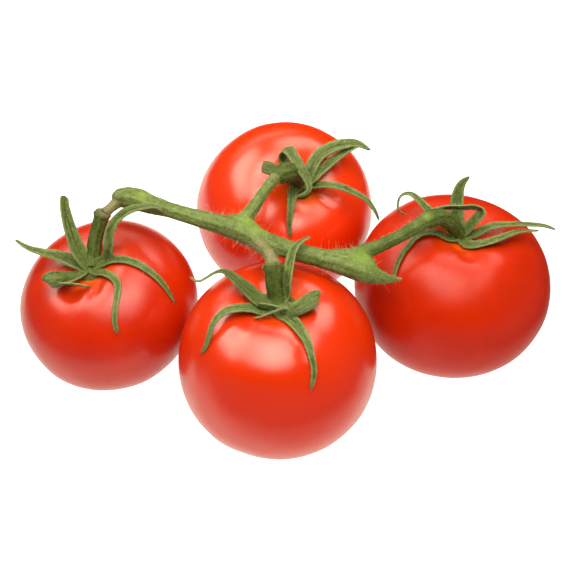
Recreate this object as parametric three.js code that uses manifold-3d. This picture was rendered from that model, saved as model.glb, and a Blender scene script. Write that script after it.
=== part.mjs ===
// A truss of four ripe tomatoes on one green stem, lying on a flat surface.
// Millimetres, +Z up. The origin is on the surface, under the middle of the truss,
// with +Y away from the front fruit and +X towards the right fruit.

import * as THREE from "three";
import { mergeVertices } from "three/addons/utils/BufferGeometryUtils.js";
import Module from "manifold-3d";

const wasm = await Module();
wasm.setup();

// Driving dimensions

const MIDDLE = [0.1, -0.35];    // moves the whole layout so that it lies centred on the origin
const TOUCH_GAP = 0.4;          // between a fruit and its calyx
const KNUCKLE_GAP = 0.6;        // across the knuckle of a stalk

const FRUIT_AROUND = 36;        // facets round a fruit
const FRUIT_DOWN = 18;          // facets from its stem end to its base
const FRUIT_CROWDING = 1.25;    // above 1 the facets are smaller at the stem end
const SQUARENESS = 2.2;         // of a fruit's side view: 2 is an ellipse, more has fuller shoulders
const DIMPLE_ANGLE = 0.37;      // half width of the hollow at the stem end, in radians from the middle
const CREASE_ANGLE = 0.45;      // where the creases round the hollow are deepest
const CREASE_SPREAD = 0.2;
const SCAR_DEPTH = 0.4;         // of the small hollow at the base
const SCAR_ANGLE = 0.22;

const STEM_SIDES = 10;
const STEM_STEP = 3.2;
const SEPAL_STEPS = 2;          // facets between two of a sepal's points
const SEPAL_EDGE = 0.6;         // thickness along a sepal's edges
const SEPAL_RIB = 1.1;          // thickness along its midrib
const SEPAL_CUP = 0.5;          // how far the edges stand above the midrib
const SEPAL_CLEARANCE = 1.5;    // from a sepal's middle to the skin of its fruit

const DISC_RADIUS = 4.2;        // the disc that the sepals grow from
const DISC_THICK = 3.0;

// The fruits: place of the middle, radius, height of the shoulders above it and of the base below it,
// the lean of the stem end and the way it leans, the depth of the hollow, and the creases round it.
// A crease is [way, depth, half width], with ways in degrees round the fruit's own axis.

const FRUITS = {
  left: {
    at: [-62.9, -5.5, 26.25], radius: 32.1, top: 25.1, base: 25.6, lean: 16, heading: -154, hollow: 6.0,
    creases: [[-124, 1.4, 12], [-76, 1.4, 12], [60, 1.0, 16], [160, 0.8, 14]],
  },
  front: {
    at: [-2.9, -36.6, 29.9], radius: 34.3, top: 33.6, base: 30.6, lean: 1, heading: 77, hollow: 7.5,
    creases: [[-151, 1.4, 12], [-60, 1.4, 12], [20, 1.0, 14], [110, 1.0, 16]],
  },
  right: {
    at: [59.3, 1.6, 28.65], radius: 35.3, top: 29.0, base: 29.0, lean: 5, heading: 19, hollow: 7.0,
    creases: [[-72, 1.5, 12], [-20, 1.0, 12], [50, 1.0, 16], [150, 1.2, 14]],
  },
  back: {
    at: [-0.7, 39.2, 30.55], radius: 32.5, top: 31.0, base: 29.0, lean: 32, heading: -63, hollow: 7.0,
    creases: [[-110, 1.2, 14], [-10, 1.0, 12], [80, 1.0, 16], [170, 1.0, 14]],
  },
};

// The main stem, from its swollen end to its dry tip: [x, y, z, radius]

const RACHIS = [
  [-57.2, 10.0, 63.6, 2.2], [-55.0, 9.9, 64.0, 4.0], [-51.6, 8.6, 64.6, 4.2], [-47.0, 6.2, 65.3, 3.1],
  [-39.9, 2.6, 65.8, 2.6], [-29.5, -1.9, 65.6, 2.7], [-19.8, -6.5, 65.2, 3.5], [-14.0, -9.3, 64.8, 4.0],
  [-8.1, -12.5, 64.3, 3.4], [1.4, -16.4, 63.6, 3.2], [11.5, -19.6, 63.0, 3.2], [19.9, -21.4, 61.8, 3.9],
  [26.0, -22.8, 60.0, 4.2], [31.0, -23.8, 58.0, 3.5], [35.4, -23.6, 56.6, 2.1], [39.3, -22.4, 55.6, 0.8],
];

// The stalks, each from inside the main stem to the calyx: [x, y, z, radius].
// The knuckle is the point where the upper half, which is part of the stem, meets the lower half.

const STALKS = {
  left: {
    knuckle: 3,
    points: [
      [-55.9, 9.7, 64.0, 2.2], [-58.6, 7.7, 63.5, 1.5], [-61.1, 5.2, 62.8, 2.0], [-63.0, 3.6, 61.2, 2.6],
      [-64.2, 2.4, 58.5, 2.0], [-65.5, 0.4, 54.2, 1.7], [-66.9, -3.8, 48.6, 1.8], [-67.5, -6.6, 46.2, 2.2],
    ],
  },
  front: {
    knuckle: 3,
    points: [
      [-11.6, -10.1, 64.2, 3.4], [-8.1, -18.0, 66.6, 2.3], [-5.2, -25.4, 68.6, 2.1], [-4.5, -28.8, 68.6, 2.6],
      [-4.3, -31.2, 67.0, 2.4], [-4.2, -32.6, 64.0, 2.0], [-3.3, -34.2, 59.6, 2.0], [-2.8, -35.6, 57.2, 2.3],
    ],
  },
  right: {
    knuckle: 4,
    points: [
      [21.6, -19.7, 61.6, 3.6], [26.1, -15.9, 62.0, 2.8], [31.2, -13.8, 62.8, 2.2], [39.5, -9.7, 64.3, 1.9],
      [48.6, -3.0, 65.0, 2.6], [52.2, -0.5, 64.3, 2.4], [56.3, 1.0, 61.0, 2.2], [59.8, 1.8, 55.0, 2.1],
      [61.0, 2.1, 52.0, 2.4],
    ],
  },
  back: {
    knuckle: 3,
    points: [
      [-16.7, -6.8, 64.8, 3.4], [-12.4, 1.3, 65.2, 2.2], [-8.3, 10.0, 65.6, 1.8], [-3.9, 18.8, 65.2, 2.6],
      [0.4, 23.0, 63.8, 2.3], [3.5, 25.7, 60.0, 2.0], [4.6, 27.2, 55.4, 2.0], [4.8, 27.7, 52.8, 2.3],
    ],
  },
};

// The sepals: points along the middle, as steps right, back and up from the bottom of the hollow.
// width is the width at the root and tip the width at the end, in the share of the length that taper sets.

const SEPALS = {
  left: [
    {
      width: 4.6, tip: 0.8, taper: 1.1,
      points: [[-5.7, 1.6, 3.0], [-12.3, 3.0, 5.0], [-17.5, 3.8, 6.0], [-23.0, 6.1, 6.5], [-26.6, 8.0, 8.0]],
    },
    {
      width: 4.8, tip: 3.0, taper: 0.8,
      points: [
        [-4.2, 2.7, 6.5], [-6.6, 6.0, 11.5], [-8.4, 9.8, 16.5], [-9.0, 12.6, 19.5], [-8.8, 15.2, 20.5],
      ],
    },
    {
      width: 4.4, tip: 1.0, taper: 1.2,
      points: [
        [5.2, 1.4, 5.0], [6.6, 2.0, 11.0], [7.4, 4.8, 16.0], [10.6, 7.0, 20.0], [14.2, 7.6, 22.5],
        [19.4, 8.2, 23.5], [23.5, 8.0, 23.5], [25.4, 6.4, 22.6],
      ],
    },
    {
      width: 4.4, tip: 0.8, taper: 1.2,
      points: [
        [4.9, 1.4, 3.0], [9.6, 1.2, 4.8], [15.8, -0.9, 4.0], [20.6, -3.0, 2.0], [24.7, -5.2, -1.2],
        [28.0, -8.2, -6.0],
      ],
    },
    {
      width: 4.4, tip: 0.8, taper: 1.2,
      points: [
        [2.3, -2.6, 1.5], [6.6, -6.0, 3.4], [9.6, -9.6, 3.6], [9.8, -12.2, 1.4], [8.8, -14.6, -2.0],
        [9.2, -16.4, -8.0],
      ],
    },
    {
      width: 4.2, tip: 2.2, taper: 1.0,
      points: [
        [-3.7, -3.5, 2.2], [-8.4, -5.8, 5.4], [-13.2, -7.0, 7.6], [-15.2, -7.8, 6.8], [-14.0, -9.4, 4.6],
        [-9.0, -9.6, 3.6],
      ],
    },
  ],
  front: [
    {
      width: 4.8, tip: 0.7, taper: 0.8,
      points: [
        [-5.2, -0.6, 3.4], [-10.8, 3.1, 6.2], [-15.0, 6.2, 8.2], [-18.5, 8.6, 8.6], [-21.4, 8.2, 8.0],
        [-24.1, 6.9, 7.0], [-26.5, 6.0, 6.5], [-29.4, 7.6, 7.0],
      ],
    },
    {
      width: 4.6, tip: 0.8, taper: 1.2,
      points: [
        [-5.2, -4.2, 2.6], [-9.4, -4.8, 4.4], [-13.5, -5.6, 5.2], [-17.5, -7.0, 5.0], [-20.6, -9.4, 3.4],
        [-22.0, -11.8, 0.6], [-23.0, -14.0, -4.0], [-24.8, -14.8, -6.6],
      ],
    },
    {
      width: 4.6, tip: 0.8, taper: 1.2,
      points: [
        [0.7, -4.2, 2.4], [4.6, -8.7, 3.8], [7.6, -13.4, 3.2], [9.6, -17.2, 1.0], [10.8, -20.4, -2.4],
        [11.0, -22.4, -6.2], [9.4, -24.4, -10.8],
      ],
    },
    {
      width: 5.4, tip: 4.2, taper: 1.0,
      points: [
        [2.8, -3.2, 2.8], [7.0, -2.6, 5.6], [10.8, -1.6, 8.2], [12.9, -1.4, 8.4], [14.0, -1.8, 7.0],
        [14.2, -2.4, 5.0],
      ],
    },
    {
      width: 4.0, tip: 0.8, taper: 1.2,
      points: [
        [2.6, 1.6, 3.4], [3.2, 4.2, 7.4], [4.0, 8.6, 10.8], [5.0, 12.8, 12.8], [6.8, 16.4, 13.6],
        [11.0, 19.6, 14.0],
      ],
    },
    {
      width: 2.6, tip: 1.0, taper: 1.0,
      points: [[4.5, -4.2, 4.5], [1.0, -6.2, 5.8], [-3.6, -7.8, 5.4], [-7.6, -8.6, 4.8]],
    },
  ],
  right: [
    {
      width: 3.8, tip: 0.8, taper: 1.2,
      points: [
        [-4.7, 1.2, 5.0], [-9.2, 3.5, 8.0], [-12.6, 5.9, 10.0], [-15.3, 8.6, 11.5], [-18.0, 10.7, 12.0],
        [-20.5, 11.1, 11.0], [-21.8, 9.6, 9.0], [-21.5, 7.7, 7.0], [-19.5, 6.4, 6.2],
      ],
    },
    {
      width: 4.4, tip: 0.8, taper: 1.4,
      points: [[-1.0, 2.8, 4.0], [-1.6, 7.1, 8.0], [-1.2, 10.1, 12.0], [0.0, 12.7, 14.5], [3.0, 15.4, 16.0]],
    },
    {
      width: 4.0, tip: 0.8, taper: 1.2,
      points: [
        [2.4, 0.7, 5.0], [5.2, 1.5, 9.0], [7.0, 2.2, 11.2], [5.2, 3.2, 12.8], [0.5, 4.0, 13.5], [-5.4, 5.0, 13.5],
        [-10.6, 5.2, 12.5],
      ],
    },
    {
      width: 3.8, tip: 0.8, taper: 1.2,
      points: [
        [3.9, -0.7, 3.0], [10.3, 0.9, 5.5], [18.1, 2.0, 5.5], [23.9, 2.5, 5.0], [29.4, 2.8, 4.0],
        [33.0, 2.4, 2.8],
      ],
    },
    {
      width: 4.2, tip: 0.8, taper: 1.2,
      points: [[2.3, -5.1, 2.0], [7.2, -6.0, 4.0], [13.5, -4.1, 5.0], [19.5, -1.5, 4.5], [26.4, -0.4, 2.4]],
    },
    {
      width: 4.0, tip: 0.8, taper: 1.2,
      points: [
        [-4.8, -3.1, 2.0], [-9.3, -1.9, 4.0], [-12.8, -2.5, 5.5], [-16.0, -4.4, 5.5], [-18.1, -7.2, 3.5],
        [-19.6, -10.2, 0.0], [-20.5, -12.7, -4.0],
      ],
    },
  ],
  back: [
    {
      width: 4.2, tip: 3.2, taper: 1.0,
      points: [[-3.6, 3.0, 3.0], [-8.5, 4.4, 7.0], [-12.1, 5.4, 9.0], [-14.1, 6.4, 8.0], [-13.4, 6.4, 6.4]],
    },
    {
      width: 4.2, tip: 0.8, taper: 1.2,
      points: [
        [-2.8, 3.0, 4.0], [-5.0, 5.9, 9.0], [-5.0, 5.9, 13.0], [-3.2, 4.3, 15.6], [-0.6, -0.2, 15.8],
        [2.2, -4.4, 14.0], [4.2, -7.6, 11.0], [4.6, -10.2, 8.0], [3.2, -12.0, 6.4], [-0.8, -12.6, 5.6],
      ],
    },
    {
      width: 5.0, tip: 0.8, taper: 1.2,
      points: [
        [2.8, 2.4, 5.0], [6.5, 8.1, 8.6], [10.6, 10.0, 10.8], [15.3, 10.9, 12.0], [20.1, 11.4, 12.0],
        [25.2, 9.7, 10.5],
      ],
    },
    {
      width: 4.6, tip: 0.8, taper: 1.2,
      points: [[3.2, -0.2, 4.0], [7.6, 2.8, 6.4], [12.6, 6.0, 8.4], [17.2, 7.8, 9.2], [21.8, 8.6, 9.0]],
    },
    {
      width: 3.6, tip: 0.8, taper: 1.2,
      points: [
        [4.2, -1.2, 3.0], [8.9, -2.9, 5.0], [13.6, -4.9, 6.0], [18.2, -6.6, 5.0], [22.6, -8.4, 3.2],
        [25.2, -10.4, 0.4], [26.6, -12.4, -3.2],
      ],
    },
    {
      width: 3.0, tip: 0.8, taper: 1.2,
      points: [
        [-2.5, -3.3, 2.0], [-3.0, -8.6, 3.5], [-3.6, -13.1, 2.0], [-3.9, -15.7, -2.0],
        [-3.9, -16.9, -7.0],
      ],
    },
  ],
};

// Finishes

const SKIN = new THREE.MeshStandardMaterial({ color: 0xe0280c, roughness: 0.25, metalness: 0 });
const SEPAL_GREEN = new THREE.MeshStandardMaterial({ color: 0x5f7f35, roughness: 0.7, metalness: 0 });
const STEM_GREEN = new THREE.MeshStandardMaterial({ color: 0x6b8840, roughness: 0.7, metalness: 0 });

const bell = (t) => Math.exp(-t * t);

const radians = THREE.MathUtils.degToRad;

// Joining solids

function solid(geometry) {
  const bare = geometry.clone();
  bare.deleteAttribute("normal");
  bare.deleteAttribute("uv");
  const merged = mergeVertices(bare, 0.001);
  const shape = new wasm.Mesh({
    numProp: 3,
    vertProperties: new Float32Array(merged.attributes.position.array),
    triVerts: new Uint32Array(merged.index.array),
  });
  return new wasm.Manifold(shape);
}

function named(name, body, material) {
  const shape = body.getMesh();
  const geometry = new THREE.BufferGeometry();
  geometry.setAttribute("position", new THREE.BufferAttribute(new Float32Array(shape.vertProperties), 3));
  geometry.setIndex(new THREE.BufferAttribute(new Uint32Array(shape.triVerts), 1));
  geometry.computeVertexNormals();
  const mesh = new THREE.Mesh(geometry, material);
  mesh.name = name;
  return mesh;
}

// Fruits

function fruitAxis(fruit) {
  const lean = radians(fruit.lean);
  const heading = radians(fruit.heading);
  return new THREE.Vector3(
    Math.sin(lean) * Math.cos(heading),
    Math.sin(lean) * Math.sin(heading),
    Math.cos(lean),
  );
}

function fruitTurn(fruit) {
  return new THREE.Quaternion().setFromUnitVectors(new THREE.Vector3(0, 0, 1), fruitAxis(fruit));
}

// How far the skin is from the fruit's middle, along a direction in the fruit's own frame
function skinReach(fruit, direction) {
  const polar = Math.acos(THREE.MathUtils.clamp(direction.z, -1, 1));
  const way = Math.atan2(direction.y, direction.x);
  const half = direction.z > 0 ? fruit.top : fruit.base;
  const across = (Math.sin(polar) / fruit.radius) ** SQUARENESS;
  const along = (Math.abs(direction.z) / half) ** SQUARENESS;
  let reach = (across + along) ** (-1 / SQUARENESS);
  reach -= fruit.hollow * bell(polar / DIMPLE_ANGLE);
  reach -= SCAR_DEPTH * bell((Math.PI - polar) / SCAR_ANGLE);
  for (const [creaseWay, depth, halfWidth] of fruit.creases) {
    const off = THREE.MathUtils.euclideanModulo(way - radians(creaseWay) + Math.PI, 2 * Math.PI) - Math.PI;
    reach -= depth * bell(off / radians(halfWidth)) * bell((polar - CREASE_ANGLE) / CREASE_SPREAD);
  }
  return reach;
}

function moveCorners(geometry, move) {
  const corners = geometry.attributes.position;
  for (let i = 0; i < corners.count; i += 1) {
    const moved = move(new THREE.Vector3().fromBufferAttribute(corners, i));
    corners.setXYZ(i, moved.x, moved.y, moved.z);
  }
}

function makeFruit(fruit) {
  const round = new THREE.SphereGeometry(1, FRUIT_AROUND, FRUIT_DOWN);
  round.rotateX(Math.PI / 2);
  moveCorners(round, (corner) => {
    const even = Math.acos(THREE.MathUtils.clamp(corner.z, -1, 1));
    const polar = Math.PI * (even / Math.PI) ** FRUIT_CROWDING;
    const way = Math.atan2(corner.y, corner.x);
    const direction = new THREE.Vector3(
      Math.sin(polar) * Math.cos(way),
      Math.sin(polar) * Math.sin(way),
      Math.cos(polar),
    );
    return direction.multiplyScalar(skinReach(fruit, direction));
  });
  round.applyQuaternion(fruitTurn(fruit));
  round.translate(...fruit.at);
  const below = new THREE.BoxGeometry(4 * fruit.radius, 4 * fruit.radius, fruit.radius);
  below.translate(fruit.at[0], fruit.at[1], -fruit.radius / 2);
  return solid(round).subtract(solid(below));
}

// The bottom of the hollow at the stem end
function hollowBottom(fruit) {
  const up = new THREE.Vector3(0, 0, 1);
  return fruitAxis(fruit).multiplyScalar(skinReach(fruit, up)).add(new THREE.Vector3(...fruit.at));
}

// A point moved straight out from the fruit's middle until it is clear of the skin
function clearOf(fruit, point, clearance) {
  const middle = new THREE.Vector3(...fruit.at);
  const arm = point.clone().sub(middle);
  const direction = arm.clone().normalize().applyQuaternion(fruitTurn(fruit).invert());
  const least = skinReach(fruit, direction) + clearance;
  return arm.length() < least ? arm.setLength(least).add(middle) : point;
}

// Swept shapes. rings is a list of { at, ahead, corners }, with corners as [across, up] pairs that go round
// anticlockwise as seen from the far end. The section turns as little as it can on the way.
// settle may move a corner that would touch something.

function sweep(rings, settle = (point) => point) {
  const count = rings.length;
  const sides = rings[0].corners.length;
  const positions = [];
  const faces = [];
  let up = new THREE.Vector3(0, 0, 1);
  rings.forEach((ring) => {
    up = up.clone().addScaledVector(ring.ahead, -up.dot(ring.ahead)).normalize();
    const across = new THREE.Vector3().crossVectors(ring.ahead, up);
    for (const [x, z] of ring.corners) {
      const corner = ring.at.clone().addScaledVector(across, x).addScaledVector(up, z);
      positions.push(...settle(corner, z).toArray());
    }
  });
  for (let i = 0; i < count - 1; i += 1) {
    for (let k = 0; k < sides; k += 1) {
      const a = i * sides + k;
      const b = i * sides + (k + 1) % sides;
      faces.push(a, a + sides, b, b, a + sides, b + sides);
    }
  }
  const first = positions.length / 3;
  positions.push(...middleOf(positions, 0, sides), ...middleOf(positions, (count - 1) * sides, sides));
  for (let k = 0; k < sides; k += 1) {
    const next = (k + 1) % sides;
    faces.push(first, k, next);
    faces.push(first + 1, (count - 1) * sides + next, (count - 1) * sides + k);
  }
  const geometry = new THREE.BufferGeometry();
  geometry.setAttribute("position", new THREE.BufferAttribute(new Float32Array(positions), 3));
  geometry.setIndex(faces);
  return solid(geometry);
}

function middleOf(positions, start, sides) {
  const sum = new THREE.Vector3();
  for (let k = 0; k < sides; k += 1) {
    sum.add(new THREE.Vector3().fromArray(positions, 3 * (start + k)));
  }
  return sum.divideScalar(sides).toArray();
}

// Stems: a round section whose radius changes along the route, from share `from` to share `to` of it

function makeStem(points, from = 0, to = 1, settle = undefined) {
  const route = new THREE.CatmullRomCurve3(points.map(([x, y, z]) => new THREE.Vector3(x, y, z)));
  const radii = points.map((point) => new THREE.Vector3(point[3], 0, 0));
  const girth = new THREE.CatmullRomCurve3(radii, false, "catmullrom");
  const steps = Math.ceil(route.getLength() * (to - from) / STEM_STEP);
  const rings = [];
  for (let i = 0; i <= steps; i += 1) {
    const share = from + (to - from) * i / steps;
    const radius = girth.getPoint(share).x;
    const corners = [];
    for (let k = 0; k < STEM_SIDES; k += 1) {
      const angle = 2 * Math.PI * k / STEM_SIDES;
      corners.push([radius * Math.cos(angle), radius * Math.sin(angle)]);
    }
    rings.push({ at: route.getPoint(share), ahead: route.getTangent(share), corners });
  }
  return sweep(rings, settle);
}

// The knuckle's share of a stalk's route, and the share that half the gap takes there
function knuckleShares({ points, knuckle }) {
  const route = new THREE.CatmullRomCurve3(points.map(([x, y, z]) => new THREE.Vector3(x, y, z)));
  const share = knuckle / (points.length - 1);
  const nudge = 0.01;
  const speed = route.getPoint(share + nudge).distanceTo(route.getPoint(share - nudge)) / (2 * nudge);
  return { share, half: KNUCKLE_GAP / 2 / speed };
}

function makeRachis() {
  let body = makeStem(RACHIS);
  for (const stalk of Object.values(STALKS)) {
    const { share, half } = knuckleShares(stalk);
    body = body.add(makeStem(stalk.points, 0, share - half));
  }
  return body;
}

// Calyxes

function makeSepal(sepal, fruit, root) {
  const stations = [[0, 0, 2.2], ...sepal.points].map((step) => root.clone().add(new THREE.Vector3(...step)));
  const held = stations.map((station) => clearOf(fruit, station, SEPAL_CLEARANCE));
  const route = new THREE.CatmullRomCurve3(held);
  const steps = SEPAL_STEPS * (held.length - 1);
  const rings = route.getPoints(steps).map((point, i) => {
    const half = THREE.MathUtils.lerp(sepal.width, sepal.tip, (i / steps) ** sepal.taper) / 2;
    const rib = SEPAL_RIB / 2;
    const edge = SEPAL_EDGE / 2;
    const lift = SEPAL_CUP * Math.min(1, half / 1.5);
    const corners = [
      [half, lift - edge], [half, lift + edge], [0, rib], [-half, lift + edge], [-half, lift - edge], [0, -rib],
    ];
    return { at: clearOf(fruit, point, SEPAL_CLEARANCE), ahead: route.getTangent(i / steps), corners };
  });
  return sweep(rings, (corner, height) => clearOf(fruit, corner, TOUCH_GAP + SEPAL_RIB / 2 + height));
}

function makeDisc(fruit, root) {
  const disc = new THREE.SphereGeometry(1, 12, 8);
  disc.rotateX(Math.PI / 2);
  disc.scale(DISC_RADIUS, DISC_RADIUS, DISC_THICK / 2);
  disc.translate(0, 0, DISC_THICK / 2 + TOUCH_GAP);
  disc.applyQuaternion(fruitTurn(fruit));
  disc.translate(root.x, root.y, root.z);
  moveCorners(disc, (corner) => clearOf(fruit, corner, TOUCH_GAP));
  return solid(disc);
}

function makeCalyx(side) {
  const fruit = FRUITS[side];
  const stalk = STALKS[side];
  const root = hollowBottom(fruit);
  const { share, half } = knuckleShares(stalk);
  let body = makeDisc(fruit, root);
  body = body.add(makeStem(stalk.points, share + half, 1, (corner) => clearOf(fruit, corner, 2 * TOUCH_GAP)));
  for (const sepal of SEPALS[side]) {
    body = body.add(makeSepal(sepal, fruit, root));
  }
  return body;
}

// The whole truss

const truss = new THREE.Group();
truss.position.set(MIDDLE[0], MIDDLE[1], 0);
for (const side of Object.keys(FRUITS)) {
  truss.add(named(`tomato_${side}`, makeFruit(FRUITS[side]), SKIN));
  truss.add(named(`calyx_${side}`, makeCalyx(side), SEPAL_GREEN));
}
truss.add(named("rachis", makeRachis(), STEM_GREEN));

export default truss;
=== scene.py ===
# Dresses the truss of tomatoes: glossy skin over the fruits, curled sepals, a stem with fine hairs.

import math

import bpy
import numpy as np
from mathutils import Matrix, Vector, kdtree
from mathutils.bvhtree import BVHTree


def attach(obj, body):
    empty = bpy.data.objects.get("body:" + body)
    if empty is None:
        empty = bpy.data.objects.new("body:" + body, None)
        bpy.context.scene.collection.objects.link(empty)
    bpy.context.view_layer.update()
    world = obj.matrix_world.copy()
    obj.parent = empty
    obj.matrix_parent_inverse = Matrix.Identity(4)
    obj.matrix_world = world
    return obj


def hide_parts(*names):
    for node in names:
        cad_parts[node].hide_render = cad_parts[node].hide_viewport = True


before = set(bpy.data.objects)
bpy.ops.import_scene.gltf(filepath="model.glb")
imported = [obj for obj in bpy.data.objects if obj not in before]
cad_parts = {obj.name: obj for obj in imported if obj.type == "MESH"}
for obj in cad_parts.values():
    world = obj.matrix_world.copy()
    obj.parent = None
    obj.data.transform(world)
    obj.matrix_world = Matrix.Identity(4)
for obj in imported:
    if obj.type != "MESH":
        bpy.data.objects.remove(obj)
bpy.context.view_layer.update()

# Lengths are in millimetres, apart from those of the stage, and MM turns them into metres

MM = 0.001
MIDDLE = Vector((0.1, -0.35, 0))    # moves the whole layout so that it lies centred on the origin
SIDES = ("left", "front", "right", "back")
MERGE_GAP = 0.001                   # corners nearer to each other than this become one

# Fruits

QUAD_ANGLE = 30         # triangles that meet at less than this, in degrees, are paired into a face
QUAD_SKEW = 60          # which is no more askew than this
FLAT_HEIGHT = 0.01      # a face lower than this that looks down is the flat spot
LOOKS_DOWN = -0.9       # the highest upward part of such a face's normal
BOTTOM_INSET = 1.0      # keeps the flat spot flat when the skin is made smooth
SKIN_LEVELS = 3
DENT_DEPTH = 0.7
DENT_WIDTH = 22.0
HOLLOW_REACH = 7.0      # how far the orange spreads from the bottom of the hollow
RED_HEIGHTS = (8, 52)   # the red changes from low to high between these heights

# Each skin's red low down and high up, how rough it is and how strongly it reflects. Part of the difference
# in red from fruit to fruit is painted shade, which makes the left and right fruits darker than the light
# alone would make them; the rest is their own colour.

SKINS = {
    "left": {"low": (0.445, 0.0046, 0.0), "high": (0.445, 0.0147, 0.0), "rough": 0.27, "shine": 0.38},
    "front": {"low": (0.565, 0.0062, 0.0), "high": (0.565, 0.0219, 0.0), "rough": 0.24, "shine": 0.56},
    "right": {"low": (0.415, 0.0042, 0.0), "high": (0.415, 0.0129, 0.0), "rough": 0.30, "shine": 0.20},
    "back": {"low": (0.700, 0.0080, 0.0), "high": (0.700, 0.0300, 0.0), "rough": 0.24, "shine": 0.56},
}

# Where a skin is pulled out, or pushed in where the distance is below zero: [x, y, z, distance, reach]

PUSHES = {
    "left": [
        [-69.5, -16.0, 45.2, -0.8, 4.5], [-72.1, -18.6, 45.4, -0.8, 5.0], [-64.0, -15.4, 47.3, -0.5, 3.2],
        [-65.0, -18.4, 46.8, -0.5, 3.2], [-66.6, -20.4, 46.4, -0.4, 3.2], [-68.3, -18.8, 46.2, 0.7, 5.0],
        [-62.6, -22.0, 44.4, 0.8, 12.0],
    ],
    "front": [
        [-20.5, -58.8, 50.6, 0.7, 12.0], [-12.5, -61.6, 51.2, 0.8, 12.0], [-4.5, -63.0, 51.7, 0.8, 12.0],
        [3.5, -63.0, 51.7, 0.6, 12.0], [-12.6, -46.5, 58.0, -0.6, 4.5], [-15.5, -49.5, 57.4, -0.4, 4.5],
        [4.7, -52.3, 58.1, -0.3, 4.5], [6.0, -57.0, 55.6, -0.4, 4.5], [6.7, -61.8, 52.0, -0.3, 4.5],
    ],
    "right": [
        [60.0, -5.3, 54.4, -1.0, 4.0], [62.4, -10.0, 54.3, -0.6, 4.5], [46.0, -9.0, 54.4, -0.3, 6.0],
        [48.4, -13.0, 52.2, 0.8, 13.0], [72.8, -12.0, 51.2, 0.8, 13.0],
    ],
    "back": [
        [13.1, 27.5, 51.0, -0.4, 4.5], [16.3, 24.9, 49.0, -0.3, 5.0],
    ],
}

# The bottom of the hollow at each fruit's stem end

HOLLOWS = {
    "left": Vector((-67.6, -7.8, 44.6)),
    "front": Vector((-2.8, -36.2, 56.0)),
    "right": Vector((61.1, 2.2, 50.6)),
    "back": Vector((5.1, 27.9, 50.9)),
}

# The main stem, from its swollen end to its dry tip: [x, y, z, radius]

RACHIS = [
    [-60.2, 10.4, 62.9, 1.6], [-58.6, 10.2, 63.3, 3.0], [-55.5, 9.6, 63.8, 3.7], [-51.4, 8.0, 64.4, 3.9],
    [-47.0, 5.2, 64.9, 3.3], [-39.9, 1.6, 65.4, 2.6], [-29.5, -2.7, 65.3, 2.9], [-19.8, -6.5, 65.2, 3.5],
    [-14.0, -9.3, 64.8, 3.9], [-8.1, -12.5, 64.3, 3.4], [1.4, -16.4, 63.6, 3.1], [11.5, -19.6, 63.0, 3.2],
    [19.9, -21.4, 61.8, 3.9], [26.0, -22.8, 60.0, 4.0], [31.0, -23.6, 58.2, 2.7],
    [35.4, -23.4, 56.8, 1.3], [39.3, -22.4, 55.8, 0.5],
]

# Swellings that fill the forks of the main stem, as short stems

FORKS = [
    [
        [-22.0, -5.8, 65.0, 2.6], [-17.6, -4.6, 65.0, 3.1], [-13.6, -6.0, 64.8, 3.2],
        [-9.4, -10.4, 64.4, 2.4],
    ],
    [
        [-15.6, -6.6, 65.0, 2.4], [-12.6, 0.4, 65.1, 2.5], [-10.2, 5.4, 65.4, 1.6],
    ],
    [
        [12.0, -19.2, 62.8, 2.4], [19.4, -18.4, 62.2, 2.9], [25.4, -18.2, 61.2, 3.0],
        [29.6, -22.0, 59.0, 2.2],
    ],
]

# The stalks, each from inside the main stem to the calyx: [x, y, z, radius].
# The upper half is part of the stem. The lower half starts with a collar, where the fruit would snap off.

UPPER_STALKS = {
    "left": [
        [-56.5, 9.6, 63.2, 2.4], [-59.0, 8.0, 62.7, 2.0], [-61.0, 6.0, 62.0, 1.7],
        [-62.8, 4.7, 61.2, 1.9],
    ],
    "front": [
        [-11.6, -10.1, 64.2, 3.4], [-8.1, -18.0, 66.6, 2.3], [-5.0, -25.4, 68.6, 2.1],
        [-4.1, -29.2, 68.3, 2.5],
    ],
    "right": [
        [21.6, -19.7, 61.6, 3.6], [26.1, -15.9, 62.0, 2.8], [31.2, -13.8, 62.8, 2.3],
        [39.5, -9.7, 64.3, 2.2], [45.4, -5.4, 65.0, 2.5], [48.7, -3.0, 65.0, 2.6],
    ],
    "back": [
        [-16.7, -6.8, 64.8, 3.4], [-12.0, 1.3, 65.2, 2.3], [-7.9, 10.0, 65.6, 2.0],
        [-4.8, 16.4, 65.4, 2.1], [-3.4, 18.9, 65.1, 2.3],
    ],
}

LOWER_STALKS = {
    "left": [
        [-63.5, 4.6, 61.8, 2.6], [-63.7, 4.4, 61.0, 3.1], [-64.3, 3.5, 59.2, 2.5],
        [-66.0, 0.8, 54.2, 2.5], [-67.2, -3.6, 48.6, 2.6], [-67.6, -6.6, 46.0, 3.2],
    ],
    "front": [
        [-4.1, -28.6, 68.6, 3.2], [-4.1, -29.4, 68.2, 3.8], [-4.0, -31.0, 66.9, 3.0],
        [-4.0, -32.6, 64.0, 2.8], [-3.3, -34.2, 59.6, 2.8], [-2.8, -35.6, 57.2, 3.4],
    ],
    "right": [
        [47.0, -4.2, 65.0, 2.3], [49.0, -2.7, 64.9, 3.2], [52.2, -0.5, 64.0, 3.0], [56.3, 1.0, 60.8, 2.8],
        [59.4, 1.8, 55.4, 2.6], [61.0, 2.1, 52.0, 3.0],
    ],
    "back": [
        [-4.2, 17.4, 65.2, 1.9], [-3.0, 19.4, 65.0, 3.1], [-0.4, 22.0, 64.4, 3.7], [2.2, 24.6, 62.0, 3.2],
        [4.4, 27.4, 57.2, 2.5], [5.0, 28.2, 52.4, 2.8],
    ],
}

# The sepals: points along the middle, as steps right, back and up from the bottom of the hollow, and the
# width there. root is the width at the disc. In degrees, roll is how far the blade is rolled up across its
# width, and turn is how far it is turned about its own length at its root and at its end.

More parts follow.
